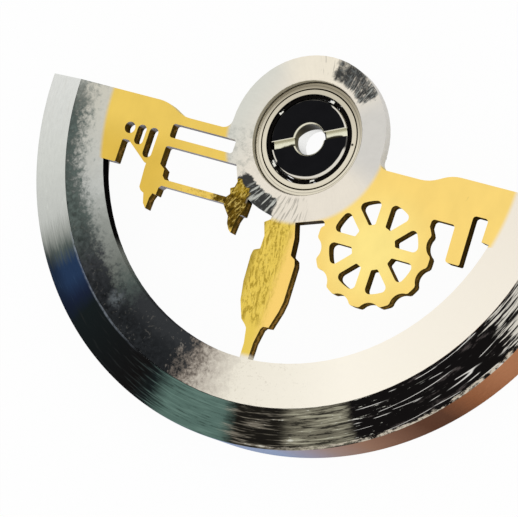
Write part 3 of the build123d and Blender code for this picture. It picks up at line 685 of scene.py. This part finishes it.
def segment_paint():
    """Polished bevel and rim whose painted reflection tones run round the axis, with fine lines along them.
    """
    paint = Paint("segment_polished")
    at = paint.place()
    upward, along = at.facing[2], at.facing[1]

    # lines run with the rim: long in angle, thin in radius
    lane = at.radius * 13.0 + at.z * 8.0
    lines = paint.noise((at.angle * 0.14, lane, 0.0), 1.0, 3.0, 0.6)
    broad = paint.noise((at.angle * 0.10, lane * 0.24, 4.0), 1.0, 3.0, 0.6)
    flecks = paint.noise((at.angle * 0.60, lane * 0.7, 8.0), 1.0, 4.0, 0.7)
    green = paint.span(at.angle, -26.0, -15.0, 0.0, 5.0)
    fades = paint.span(at.angle, -66.0, -60.0, -52.0, -46.0)
    comb = 0.5 + 2.6 * paint.rise(at.angle, 50.0, 58.0) + 0.7 * green + 0.7 * fades
    ragged = at.angle + lines * comb + flecks * 0.4
    black = paint.span(ragged, 28.6, 30.2, 61.0, 65.0)
    dense = 0.40 * paint.rise(at.angle, 60.0, 66.0)
    quiet = 0.45 * paint.rise(at.angle, -14.0, -26.0)
    share = paint.rise(lines + broad * 0.3 + dense - black * 0.8 - quiet, -0.05, 0.75)
    bevel = paint.mix(share, paint.around(ragged, BEVEL_ZONES), paint.around(ragged, BEVEL_LINE_ZONES))
    bevel = paint.shade(bevel, 1.0 + 0.05 * flecks)

    # dark lines on the green stretch
    bevel = bevel.toned(green * paint.rise(flecks * 0.5 - lines, 0.15, 0.95) * 0.50, 24, 34, 32)

    # black streaks and light dashes on the tan stretch and where the black begins
    tan = paint.span(at.angle, 1.0, 5.0, 30.0, 34.0) * (1.0 - black)
    bevel = bevel.toned(tan * paint.rise(flecks * 0.5 - lines, 0.10, 0.60) * 0.85, 24, 22, 20)
    begins = black * paint.rise(at.angle, 48.0, 36.0)
    dashes = paint.rise(lines + flecks * 0.8, 0.80, 1.20) * paint.most(tan, begins)
    bevel = bevel.toned(dashes * 0.8, 206, 206, 194)
    dim = paint.rise(broad + flecks * 0.5, 0.30, 1.1) * black
    bevel = bevel.toned(dim * 0.50, 96, 88, 86)

    # long white scratches on the black stretch, and bright chips at the bevel's outer edge with painted
    # highlights on them
    for seed in (12.0, 31.0):
        sweep = paint.noise((at.angle * 0.022, lane * 0.18, seed), 1.0, 0.0)
        pieces = paint.noise((at.angle * 0.16, lane * 0.21, seed + 4.0), 1.0, 1.0)
        scratch = paint.rise(abs(sweep), 0.058, 0.020) * paint.rise(pieces, 0.05, 0.40)
        bevel = bevel.toned(scratch * black * 0.9, 228, 226, 220)
    border = paint.rise(at.radius + flecks * 0.05, RIM_R - 0.15, RIM_R - 0.09)
    lit_nicks = border * paint.rise(at.angle, 4.0, 34.0) * paint.rise(flecks + lines * 0.5, -0.35, 0.35)
    bevel = bevel.toned(lit_nicks * 0.85, 214, 204, 186)

    # painted shadow darkens the blue stretch towards the rim, and a painted highlight runs along its upper
    # edge
    shadow = paint.rise(at.radius, RIM_R - 0.8, RIM_R - 0.1)
    shadow = shadow * paint.span(at.angle, -56.0, -51.0, -42.0, -36.0)
    bevel = bevel.toned(shadow * 0.6, 20, 25, 36)
    lit_edge = paint.rise(at.radius + lines * 0.012, BAND_OUTER_R + 0.13, BAND_OUTER_R + 0.06)
    lit_edge = lit_edge * paint.span(at.angle, -58.0, -53.0, -34.0, -20.0)
    bevel = bevel.toned(lit_edge * paint.rise(flecks, -0.9, 0.6) * 0.5, 150, 158, 168)

    # one face after another: the outer wall in painted reflection tones round the axis, the hollow inside
    # in painted shade, then the underside and the cut end
    wall = paint.shade(paint.around(at.angle + flecks * 0.5, WALL_ZONES), 1.0 + 0.03 * flecks)
    is_bevel = paint.rise(upward, 0.30, 0.60)
    colour = paint.mix(is_bevel, wall, bevel)
    inside = paint.rise(at.radius, RIM_R - 1.0, RIM_R - 1.6)
    inside = inside * paint.rise(at.z, PLATE_LOW + 0.02, PLATE_LOW - 0.02)
    colour = colour.toned(inside, 120, 116, 108)
    under, cut_end = paint.rise(-upward, 0.5, 0.8), paint.rise(along, 0.7, 0.9)
    colour = colour.toned(under, 186, 186, 188)
    colour = colour.toned(cut_end, 214, 216, 214)

    # the bevel, the underside, the cut end and the left of the outer wall mirror the room
    bright = paint.most(paint.rise(at.angle, -42.0, -60.0), cut_end)
    bright = paint.most(paint.most(bright, under), is_bevel)
    return paint.finish(colour, 0.34 - 0.10 * bright, metallic=bright, gloss=0.0,
                        normal=paint.bump(lines, 0.08, 0.01))


def race_paint(colours):
    """Turned cream steel with fine rings, a dark staking groove and a dark joint with the hub, with painted
    shade over its upper side and along its bore's edge.
    """
    paint = Paint("race_turned_steel")
    at = paint.place()
    rings = paint.noise((at.radius * 16, at.z * 12, 0.0), 1.0, 2.0)
    colour = paint.shade(colours.race_cream, 1.0 + 0.06 * rings)
    outer = paint.rise(at.radius, STAKE_R, STAKE_R + 0.08)
    # painted shade over the upper side, strongest on the outer ring
    shaded = paint.towards(96, -0.30, 0.95) * (0.35 + 0.65 * outer)
    colour = colour.toned(shaded * 0.76, 122, 112, 90)
    fine = paint.rise(abs(at.radius - FINE_LINE_R), 0.020, 0.006) * 0.45
    groove = paint.rise(abs(at.radius - STAKE_R), 0.032, 0.012)
    colour = colour.toned(paint.most(groove, fine), 30, 25, 19)
    joint = paint.rise(at.radius, JOINT_R - 0.015, JOINT_R + 0.015)
    joint = joint * paint.rise(at.z, PLATE_LOW, PLATE_LOW + 0.1)
    colour = colour.toned(joint * 0.85, 44, 37, 28)
    # painted shade: near black along the bore's edge beside the gap; a small dark notch shares the colour
    notch = paint.spot(1.95, 0.22, 0.02, 0.08)
    bore = paint.rise(at.radius, RACE_BORE_R + 0.025, RACE_BORE_R + 0.005)
    colour = colour.toned(paint.most(bore, notch), 18, 16, 15)
    return paint.finish(colour, 0.26, normal=paint.bump(rings, 0.12, 0.01))


def cone_paint(colours, slot_direction, slot_half, bore):
    """Blackened steel with a bright slot, a bright hole rim and a painted highlight along its outer edge,
    with painted light and shade in the slot.
    """
    paint = Paint("cone_black_steel")
    at = paint.place()
    level = abs(at.facing[2])
    cloud = paint.noise((at.x, at.y, at.z), 2.0, 3.0)
    colour = paint.shade(colours.cone_black, 1.0 + 0.10 * cloud)

    # the slot's floor is bright, with painted shadow on its near side, and on the far side a painted
    # highlight along the top edge and painted shade at the wall's foot
    beside = at.y * math.cos(slot_direction) - at.x * math.sin(slot_direction)
    along = at.x * math.cos(slot_direction) + at.y * math.sin(slot_direction)
    ragged = paint.noise((along * 2.0, beside * 2.0, 3.0), 1.6, 3.0)
    clear = paint.rise(-along, 0.9, 1.6) * 0.07 + paint.rise(along, 1.30, 1.55) * 0.10
    floor = paint.mix(paint.rise(beside + ragged * 0.03 + clear, slot_half * 0.05, -slot_half * 0.40),
                      colours.slot_steel, tint(44, 41, 30))
    sunk = paint.rise(at.z, CONE_TOP - 0.02, CONE_TOP - 0.05)
    beside_size = abs(beside)
    in_slot = paint.rise(beside_size, slot_half + 0.03, slot_half + 0.01)
    far_wall = paint.rise(level, 0.6, 0.4) * paint.rise(beside, slot_half - 0.04, slot_half - 0.01)
    far_low = paint.rise(at.z, CONE_TOP - 0.08, CONE_TOP - 0.13)
    floor = paint.mix(far_wall, floor, paint.mix(far_low, tint(206, 202, 176), tint(66, 61, 44)))
    colour = paint.mix(sunk * in_slot, colour, floor)
    lip = in_slot * (1.0 - sunk) + paint.rise(abs(beside_size - slot_half - 0.014), 0.024, 0.010)
    colour = colour.toned(lip * paint.rise(beside, 0.0, 0.05), 226, 222, 204)

    # painted highlight along the outer edge, widest to the lower right and broken elsewhere, and the rim of
    # the hole
    below = paint.towards(-60, 0.42, 0.56)
    right = paint.towards(50, 0.905, 0.950)
    left = paint.towards(216, 0.962, 0.980)
    above = paint.towards(105, 0.885, 0.930) * 0.5
    width = below * paint.towards(-50, 0.20, 0.90) * 0.075 + right * 0.05 + left * 0.06
    rim = paint.rise(at.radius + width + cloud * 0.008, CONE_R - 0.060, CONE_R - 0.035)
    rim = rim * paint.rise(at.z, CONE_TOP - 0.14, CONE_TOP - 0.09)
    lit_edge = paint.most(paint.most(below, right), paint.most(paint.most(left, above), 0.12))
    colour = colour.toned(rim * lit_edge, 218, 213, 201)
    hole = paint.rise(at.radius, bore + 0.065, bore + 0.04)
    colour = colour.toned(hole, 226, 222, 200)
    inside = hole * paint.rise(at.z, CONE_TOP - 0.04, CONE_TOP - 0.09)
    colour = paint.mix(inside, colour, bore_tone(paint))
    return paint.finish(colour, 0.16 + 0.14 * sunk * in_slot)


def bore_tone(paint):
    """The hole's wall: painted shade, dark olive above and lighter to the lower left, and a painted
    reflection, bright below where it mirrors the light beneath.
    """
    at = paint.place()
    olive = paint.mix(paint.towards(218, 0.25, 1.0), tint(40, 37, 27), tint(84, 79, 60))
    bright = paint.rise(at.z + paint.most(at.out_y, 0.0) * 0.5, CONE_TOP - 0.40, CONE_TOP - 0.46)
    return olive.toned(bright, 252, 252, 250)


def clouded(paint, colour):
    """A metal's colour with a faint cloudy shade."""
    at = paint.place()
    return paint.shade(colour, 1.0 + 0.04 * paint.noise((at.x, at.y, at.z), 3.0, 3.0))


def core_paint(colours, bore):
    """Satin steel, with a hole whose wall goes on from the cone's above it."""
    paint = Paint("core_satin_steel")
    hole = paint.rise(paint.place().radius, bore + 0.05, bore + 0.02)
    return paint.finish(paint.mix(hole, clouded(paint, colours.core_steel), bore_tone(paint)), 0.30)


def cage_paint(colours):
    """Dark metal, its near black also standing for the shade in the gap between cone and race, with a few
    painted highlights on its upper face, the largest to the lower left.
    """
    paint = Paint("cage_dark_metal_and_gap_shade")
    glints = paint.towards(228, 0.9955, 0.9980)
    for degrees in (75, 154, 294):
        glints = paint.most(glints, paint.towards(degrees, 0.9980, 0.9990))
    glints = glints * paint.rise(paint.place().facing[2], 0.3, 0.7)
    return paint.finish(clouded(paint, colours.cage_metal).toned(glints, 232, 230, 220), 0.35)


def plain_paint(name, colour, roughness):
    """One metal all over, with a faint cloudy shade."""
    paint = Paint(name)
    return paint.finish(clouded(paint, colour), roughness)


def eased(corners, steps=5):
    """A closed profile from (radius, height, reach) corners.

    Each corner becomes a quadratic curve that leaves one side and joins the next at the
    corner's reach, so with reach 0 the corner stays sharp. A row a little way along each
    side keeps the curve's shading off the flats."""
    table = np.array(corners, float)
    here, reach = table[:, :2], table[:, 2:3]
    back = np.roll(here, 1, axis=0) - here
    ahead = np.roll(here, -1, axis=0) - here
    start = here + back / np.linalg.norm(back, axis=1, keepdims=True) * reach
    end = here + ahead / np.linalg.norm(ahead, axis=1, keepdims=True) * reach
    share = np.linspace(0, 1, steps)[None, :, None]
    curve = (start[:, None] * (1 - share) ** 2 + here[:, None] * 2 * share * (1 - share)
             + end[:, None] * share ** 2)
    past_curve = 1.3
    before, beyond = (here + (point - here) * past_curve for point in (start, end))
    curve = np.concatenate([before[:, None], curve, beyond[:, None]], axis=1)
    keep = np.ones((len(table), steps + 2), bool)
    keep[reach[:, 0] <= 0, 1:] = False
    return curve[keep]


def grid_faces(rows, columns, wrap_columns):
    """Quads between a grid's neighbours: rows always close on themselves, columns may."""
    row = np.arange(rows)[:, None]
    column = np.arange(columns if wrap_columns else columns - 1)[None, :]
    after, beside = (row + 1) % rows, (column + 1) % columns
    corners = (row * columns + column, row * columns + beside,
               after * columns + beside, after * columns + column)
    return np.stack(np.broadcast_arrays(*corners), -1).reshape(-1, 4)


def new_piece(name, grids, material, body, nodes, smooth_angle=32):
    """A piece from closed grids of points, in millimetres.

    Each grid holds profile rows and sweep columns. A grid whose sweep is open is closed
    by its first and last profile as flat ends."""
    points, faces, offset = [], [], 0
    for grid, wraps in grids:
        rows, columns = grid.shape[:2]
        points.append(grid.reshape(-1, 3) * MM)
        faces += (grid_faces(rows, columns, wraps) + offset).tolist()
        if not wraps:
            first = np.arange(rows) * columns + offset
            faces += [first.tolist(), (first + columns - 1)[::-1].tolist()]
        offset += rows * columns
    mesh = bpy.data.meshes.new(name)
    mesh.from_pydata(np.concatenate(points).tolist(), [], faces)
    return seat_piece(name, mesh, material, body, nodes, smooth_angle)


def add_object(name, data):
    """A new object in the scene."""
    thing = bpy.data.objects.new(name, data)
    bpy.context.scene.collection.objects.link(thing)
    return thing


def merge(source, mesh, gap):
    """Fills a mesh with another's faces, whose points join where they lie within a gap."""
    shell = bmesh.new()
    shell.from_mesh(source)
    bmesh.ops.remove_doubles(shell, verts=shell.verts, dist=gap * MM)
    shell.to_mesh(mesh)
    shell.free()


def seat_piece(name, mesh, material, body, nodes, smooth_angle=32):
    """Points a mesh's faces outwards, smooths it, and seats it on its body in place of nodes."""
    shell = bmesh.new()
    shell.from_mesh(mesh)
    bmesh.ops.recalc_face_normals(shell, faces=shell.faces)
    shell.to_mesh(mesh)
    shell.free()
    mesh.shade_smooth()
    mesh.set_sharp_from_angle(angle=math.radians(smooth_angle))
    mesh.materials.clear()
    mesh.materials.append(material)
    piece = add_object(name, mesh)
    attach(piece, body)
    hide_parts(*nodes)
    return piece


def turned(profile, steps, start=0.0, end=360.0):
    """A profile of (radius, height) carried round the axis.

    Point (i, j) = (r_i cos t_j, r_i sin t_j, z_i), with t_j in even steps from start to end."""
    whole = end - start >= 360
    angle = np.radians(np.linspace(start, end, steps, endpoint=not whole))
    radius, height = profile[:, :1], profile[:, 1:]
    grid = np.stack(np.broadcast_arrays(
        radius * np.cos(angle), radius * np.sin(angle), height + 0 * angle), -1)
    return grid, whole


def slotted_half(profile, half_width, direction):
    """Half of a turned profile, cut by a straight slot through the axis.

    At radius r the sweep runs from a(r) = asin(w / r) to pi - a(r), so its two ends lie
    on the slot's straight walls, w away from the axis."""
    radius, height = profile[:, :1], profile[:, 1:]
    cut = np.arcsin(half_width / radius)
    share = np.linspace(0, 1, SLOT_STEPS)[None, :]
    angle = direction + cut + share * (math.pi - 2 * cut)
    grid = np.stack([radius * np.cos(angle), radius * np.sin(angle), height + 0 * angle], -1)
    return grid, False


def toothed(bore, root_r, tip_r, teeth, edge, low, top):
    """A toothed ring: a rectangular profile whose outer radius follows the tooth's phase.

    Over one tooth's phase the outer radius runs along straight pieces: root, flank, tip,
    flank, root."""
    turn = np.arange(teeth * TOOTH_STEPS) / (teeth * TOOTH_STEPS)
    outer = np.interp((turn * teeth) % 1.0, TOOTH_PHASE_SHARES,
                      (root_r, root_r, tip_r, tip_r, root_r, root_r))
    angle = 2 * math.pi * turn
    radii = np.stack([bore + 0 * outer, bore + 0 * outer, outer - edge, outer, outer, outer - edge])
    heights = np.array([low, top, top, top - edge, low + edge, low])[:, None] + 0 * outer
    return np.stack([radii * np.cos(angle), radii * np.sin(angle), heights], -1), True


def lane_reach(sizes):
    """Half the width of the right-angled groove that the balls run in."""
    return (BALL_R + sizes.mm("ball_gap")) * math.sqrt(2)


class ROTOR_OT_plate(bpy.types.Operator):
    """Dress the pierced plate: a merged copy of its solid, gilt and silvered"""

    bl_idname = "rotor.plate"
    bl_label = "Pierced plate"

    def execute(self, context):
        scene = context.scene
        mesh = bpy.data.meshes.new("pierced_plate")
        merge(frame["nodes"]["rotor_plate"].data, mesh, PLATE_MERGE)
        piece = seat_piece("pierced_plate", mesh, plate_paint(scene.rotor_colours),
                           "rotor", ["rotor_plate"])
        self.flatten(mesh)
        return {"FINISHED"}

    def flatten(self, mesh):
        """Shades the level faces flat, so that no light slides over the sheet."""
        normals = np.empty(len(mesh.polygons) * 3)
        mesh.polygons.foreach_get("normal", normals)
        upright = np.abs(normals.reshape(-1, 3)[:, 2]) < 0.9
        mesh.polygons.foreach_set("use_smooth", upright)


class ROTOR_OT_segment(bpy.types.Operator):
    """Build the heavy segment: a stepped and bevelled profile carried half way round the axis"""

    bl_idname = "rotor.segment"
    bl_label = "Heavy segment"

    def execute(self, context):
        sizes = context.scene.rotor_sizes
        ledge_r = BAND_OUTER_R - sizes.mm("ledge_width")
        seat_r = BAND_OUTER_R + sizes.mm("press_gap")
        edge = sizes.mm("rim_edge")
        profile = eased([
            (ledge_r, SEGMENT_LOW, edge / 2),
            (RIM_R, SEGMENT_LOW, edge),
            (RIM_R, PLATE_TOP - sizes.mm("bevel_drop") - edge / 2, edge * 0.8),
            (seat_r, PLATE_TOP, edge / 4),
            (seat_r, PLATE_LOW, 0),
            (ledge_r, PLATE_LOW, edge / 4),
        ])
        piece = new_piece("heavy_rim", [turned(profile, SEGMENT_STEPS, 180, 360)],
                          segment_paint(), "rotor", ["heavy_segment"])
        return {"FINISHED"}


class ROTOR_OT_outer_race(bpy.types.Operator):
    """Build the outer race: barrel, flange, staking groove and angled ball groove"""

    bl_idname = "rotor.outer_race"
    bl_label = "Outer race"

    def execute(self, context):
        scene = context.scene
        sizes = scene.rotor_sizes
        bore = RACE_BORE_R
        barrel = FLANGE_R - sizes.mm("flange_width")
        flange_low = PLATE_LOW - sizes.mm("flange_thick")
        groove, depth = bore + sizes.mm("stake_inset"), sizes.mm("stake_depth")
        reach = lane_reach(sizes) - (bore - BALL_CIRCLE_R)
        edge = sizes.mm("cone_edge")
        profile = eased([
            (bore, RACE_LOW, edge / 3), (barrel, RACE_LOW, edge / 3), (barrel, flange_low, 0),
            (FLANGE_R, flange_low, edge / 2), (FLANGE_R, PLATE_LOW, edge / 4), (barrel, PLATE_LOW, 0),
            (barrel, RACE_TOP, edge / 2), (groove + depth * 0.7, RACE_TOP, edge / 4),
            (groove, RACE_TOP - depth, edge / 4), (groove - depth * 0.7, RACE_TOP, edge / 4),
            (bore, RACE_TOP, edge * 0.7), (bore, BALL_PLANE + reach, edge / 4),
            (bore + reach, BALL_PLANE, edge / 3), (bore, BALL_PLANE - reach, edge / 4),
        ])
        piece = new_piece("turned_race", [turned(profile, RACE_STEPS)],
                          race_paint(scene.rotor_colours), "rotor", ["outer_race"])
        return {"FINISHED"}


class ROTOR_OT_gear(bpy.types.Operator):
    """Build the toothed ring under the hub"""

    bl_idname = "rotor.gear"
    bl_label = "Toothed ring"

    def execute(self, context):
        scene = context.scene
        sizes = scene.rotor_sizes
        bore = FLANGE_R - sizes.mm("flange_width") + sizes.mm("press_gap")
        module = GEAR_TIP_R * 2 / (sizes.gear_teeth + 2)
        root_r = GEAR_TIP_R - 2.25 * module
        grid = toothed(bore, root_r, GEAR_TIP_R, sizes.gear_teeth, module / 5, GEAR_LOW, GEAR_TOP)
        material = plain_paint("gear_satin_steel", scene.rotor_colours.core_steel, 0.32)
        piece = new_piece("toothed_ring", [grid], material, "rotor", ["drive_gear"])
        return {"FINISHED"}


class ROTOR_OT_core(bpy.types.Operator):
    """Build the inner core: seat, lower cone and neck round the screw's bore"""

    bl_idname = "rotor.core"
    bl_label = "Inner core"

    def execute(self, context):
        scene = context.scene
        sizes = scene.rotor_sizes
        bore = sizes.mm("bore_radius")
        seat, neck = bore + sizes.mm("seat_wall"), bore + sizes.mm("neck_wall")
        shelf = CORE_LOW + sizes.mm("seat_thick")
        reach = lane_reach(sizes) - (BALL_CIRCLE_R - CONE_R)
        edge = sizes.mm("cone_edge") / 2
        profile = eased([
            (bore, CORE_LOW, edge), (seat, CORE_LOW, edge), (seat, shelf, 0),
            (CONE_R, shelf, edge), (CONE_R, BALL_PLANE - reach, edge / 2),
            (CONE_R - reach, BALL_PLANE, 0), (neck, BALL_PLANE, 0), (neck, CORE_TOP, edge / 2),
            (bore, CORE_TOP, edge / 2),
        ])
        piece = new_piece("turned_core", [turned(profile, CORE_STEPS)],
                          core_paint(scene.rotor_colours, bore), "core", ["inner_core"])
        return {"FINISHED"}


class ROTOR_OT_cone(bpy.types.Operator):
    """Build the slotted cone: two halves above the slot's floor, on one turned ring"""

    bl_idname = "rotor.cone"
    bl_label = "Slotted cone"

    def execute(self, context):
        scene = context.scene
        sizes = scene.rotor_sizes
        bore, edge = sizes.mm("bore_radius"), sizes.mm("cone_edge")
        half_width = sizes.mm("slot_width") / 2
        floor = CONE_TOP - sizes.mm("slot_depth")
        lane_inner = BALL_CIRCLE_R - lane_reach(sizes)
        lane_top = CONE_LOW + CONE_R - lane_inner
        floor_r = lane_inner + floor - CONE_LOW
        neck = bore + sizes.mm("neck_wall") + sizes.mm("press_gap")
        lower = eased([
            (neck, CONE_LOW, 0), (lane_inner, CONE_LOW, 0), (floor_r, floor, 0),
            (bore, floor, edge / 5), (bore, CORE_TOP, 0), (neck, CORE_TOP, 0),
        ])
        upper = eased([
            (bore, floor, 0), (floor_r, floor, 0), (CONE_R, lane_top, edge / 5),
            (CONE_R, CONE_TOP - edge, edge / 4), (CONE_R - edge, CONE_TOP, edge / 4),
            (bore + edge, CONE_TOP, edge / 4), (bore, CONE_TOP - edge, edge / 4),
        ])
        halves = [slotted_half(upper, half_width, sizes.slot_angle + turn) for turn in (0.0, math.pi)]
        material = cone_paint(scene.rotor_colours, sizes.slot_angle, half_width, bore)
        piece = new_piece("black_slotted_cone", [turned(lower, CORE_STEPS)] + halves,
                          material, "core", ["slotted_cone"])
        return {"FINISHED"}


class ROTOR_OT_cage(bpy.types.Operator):
    """Give the ball cage its metal: its solid already has its pockets and notches"""

    bl_idname = "rotor.cage"
    bl_label = "Ball cage"

    def execute(self, context):
        node = frame["nodes"]["ball_cage"]
        node.data.materials.clear()
        node.data.materials.append(cage_paint(context.scene.rotor_colours))
        return {"FINISHED"}


class ROTOR_OT_balls(bpy.types.Operator):
    """Build the bearing's balls, each on its own body"""

    bl_idname = "rotor.balls"
    bl_label = "Balls"

    def execute(self, context):
        material = plain_paint("ball_polished_steel", context.scene.rotor_colours.ball_steel, 0.12)
        for name in BALL_NAMES:
            piece = self.ball(name, material)
        return {"FINISHED"}

    def ball(self, name, material):
        """A half circle carried round the ball's own upright axis, merged at its poles.

        Point (i, j) = centre + R (cos a_i cos t_j, cos a_i sin t_j, sin a_i)."""
        low, high = NODE_BOX[name]
        rows, columns = BALL_STEPS
        height = np.linspace(-math.pi / 2, math.pi / 2, rows)
        turn = np.linspace(0, 2 * math.pi, columns, endpoint=False)
        a, t = np.meshgrid(height, turn, indexing="ij")
        outwards = np.stack([np.cos(a) * np.cos(t), np.cos(a) * np.sin(t), np.sin(a)], -1)
        grid = (low + high) / 2 + BALL_R * outwards
        faces = grid_faces(rows, columns, True)[: (rows - 1) * columns]
        mesh = bpy.data.meshes.new(name + "_polished")
        mesh.from_pydata((grid.reshape(-1, 3) * MM).tolist(), [], faces.tolist())
        merge(mesh, mesh, POLE_MERGE)
        bodies = frame["record"]["behaviour"]["bodies"]
        body = next(key for key, members in bodies.items() if name in members)
        return seat_piece(name + "_polished", mesh, material, body, [name], smooth_angle=80)


class ROTOR_OT_stage(bpy.types.Operator):
    """Place the pale floor, the soft light and the camera"""

    bl_idname = "rotor.stage"
    bl_label = "Floor, light and camera"

    def execute(self, context):
        scene = context.scene
        settings = scene.rotor_stage
        self.floor(settings)
        self.sky(scene, settings)
        self.lamps(settings)
        self.camera(scene, settings)
        scene.view_settings.view_transform = "Standard"
        return {"FINISHED"}

    def floor(self, settings):
        """A wide pale plane just under the segment: part dull white, part plain white.

        It is clear from below, so that the rotor's underside can be seen."""
        half, level = settings.floor_reach, SEGMENT_LOW * MM - settings.floor_gap
        mesh = bpy.data.meshes.new("floor")
        mesh.from_pydata([(-half, -half, level), (half, -half, level), (half, half, level),
                          (-half, half, level)], [], [(0, 1, 2, 3)])
        paint = Paint("floor_pale")
        dull = paint.node("ShaderNodeBsdfDiffuse", (), {"Color": DULL_WHITE})
        glow = paint.node("ShaderNodeEmission", (), {"Color": WHITE, "Strength": 1.0})
        white = paint.most(paint.seen_by("Is Camera Ray") * settings.floor_glow,
                           paint.seen_by("Is Glossy Ray"))
        mixed = paint.node("ShaderNodeMixShader", (), {
            0: white, 1: Term(paint, dull.outputs[0]), 2: Term(paint, glow.outputs[0])})
        below = Term(paint, paint.node("ShaderNodeNewGeometry").outputs["Backfacing"])
        clear = paint.node("ShaderNodeBsdfTransparent")
        surface = paint.node("ShaderNodeMixShader", (), {
            0: below, 1: Term(paint, mixed.outputs[0]), 2: Term(paint, clear.outputs[0])})
        output = paint.tree.nodes["Material Output"]
        paint.tree.nodes.remove(paint.shader)
        paint.feed(output.inputs["Surface"], Term(paint, surface.outputs[0]))
        mesh.materials.append(paint.material)
        floor = add_object("floor", mesh)

    def sky(self, scene, settings):
        """Even surroundings: white to the camera and in reflections, softer as light."""
        scene.world = bpy.data.worlds.new("even_sky")
        scene.world.use_nodes = True
        paint = Paint.over(scene.world.node_tree)
        white = paint.most(paint.seen_by("Is Camera Ray"), paint.seen_by("Is Glossy Ray"))
        strength = paint.node("ShaderNodeMapRange", (), {
            "Value": white, "To Min": settings.sky_strength, "To Max": 1.0})
        background = paint.tree.nodes["Background"]
        background.inputs["Color"].default_value = WHITE
        paint.feed(background.inputs["Strength"], Term(paint, strength.outputs["Result"]))

    def lamps(self, settings):
        """One large soft lamp, high behind the right shoulder, out of the plate's reflection."""
        light = bpy.data.lights.new("soft_lamp", "AREA")
        light.size = settings.lamp_size
        light.energy = settings.lamp_power
        lamp = add_object("soft_lamp", light)
        lamp.location = settings.lamp_place
        lamp.rotation_euler = Vector(settings.lamp_place).to_track_quat("Z", "Y").to_euler()

    def camera(self, scene, settings):
        """The photograph's viewing angle, from the circles of hub, bore and rim."""
        camera = bpy.data.cameras.new("camera")
        camera.sensor_width = FILM_WIDTH
        camera.lens = settings.lens
        camera.clip_start = NEAR * MM
        camera.clip_end = FAR * MM
        eye = add_object("camera", camera)
        eye.location = settings.eye
        eye.rotation_euler = settings.gaze
        scene.camera = eye


PIECE_OPERATORS = (
    ROTOR_OT_plate, ROTOR_OT_segment, ROTOR_OT_outer_race, ROTOR_OT_gear, ROTOR_OT_core,
    ROTOR_OT_cone, ROTOR_OT_cage, ROTOR_OT_balls, ROTOR_OT_stage,
)


class ROTOR_PT_sidebar(bpy.types.Panel):
    """Lists the rotor's pieces, sizes and colours"""

    bl_idname = "ROTOR_PT_sidebar"
    bl_label = "Watch rotor"
    bl_space_type = "VIEW_3D"
    bl_region_type = "UI"
    bl_category = "Watch rotor"

    def draw(self, context):
        for operator in PIECE_OPERATORS:
            self.layout.operator(operator.bl_idname)
        for group in (context.scene.rotor_sizes, context.scene.rotor_colours, context.scene.rotor_stage):
            box = self.layout.box()
            for name in group.__annotations__:
                box.prop(group, name)


CLASSES = (RotorColours, RotorSizes, RotorStage) + PIECE_OPERATORS + (ROTOR_PT_sidebar,)


def register():
    for item in CLASSES:
        bpy.utils.register_class(item)
    bpy.types.Scene.rotor_colours = bpy.props.PointerProperty(type=RotorColours)
    bpy.types.Scene.rotor_sizes = bpy.props.PointerProperty(type=RotorSizes)
    bpy.types.Scene.rotor_stage = bpy.props.PointerProperty(type=RotorStage)


def unregister():
    del bpy.types.Scene.rotor_stage
    del bpy.types.Scene.rotor_sizes
    del bpy.types.Scene.rotor_colours
    for item in reversed(CLASSES):
        bpy.utils.unregister_class(item)


def build_rotor():
    """Registers the add-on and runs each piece's operator in order."""
    register()
    for operator in PIECE_OPERATORS:
        group, name = operator.bl_idname.split(".")
        getattr(getattr(bpy.ops, group), name)()


if __name__ == "__main__":
    build_rotor()
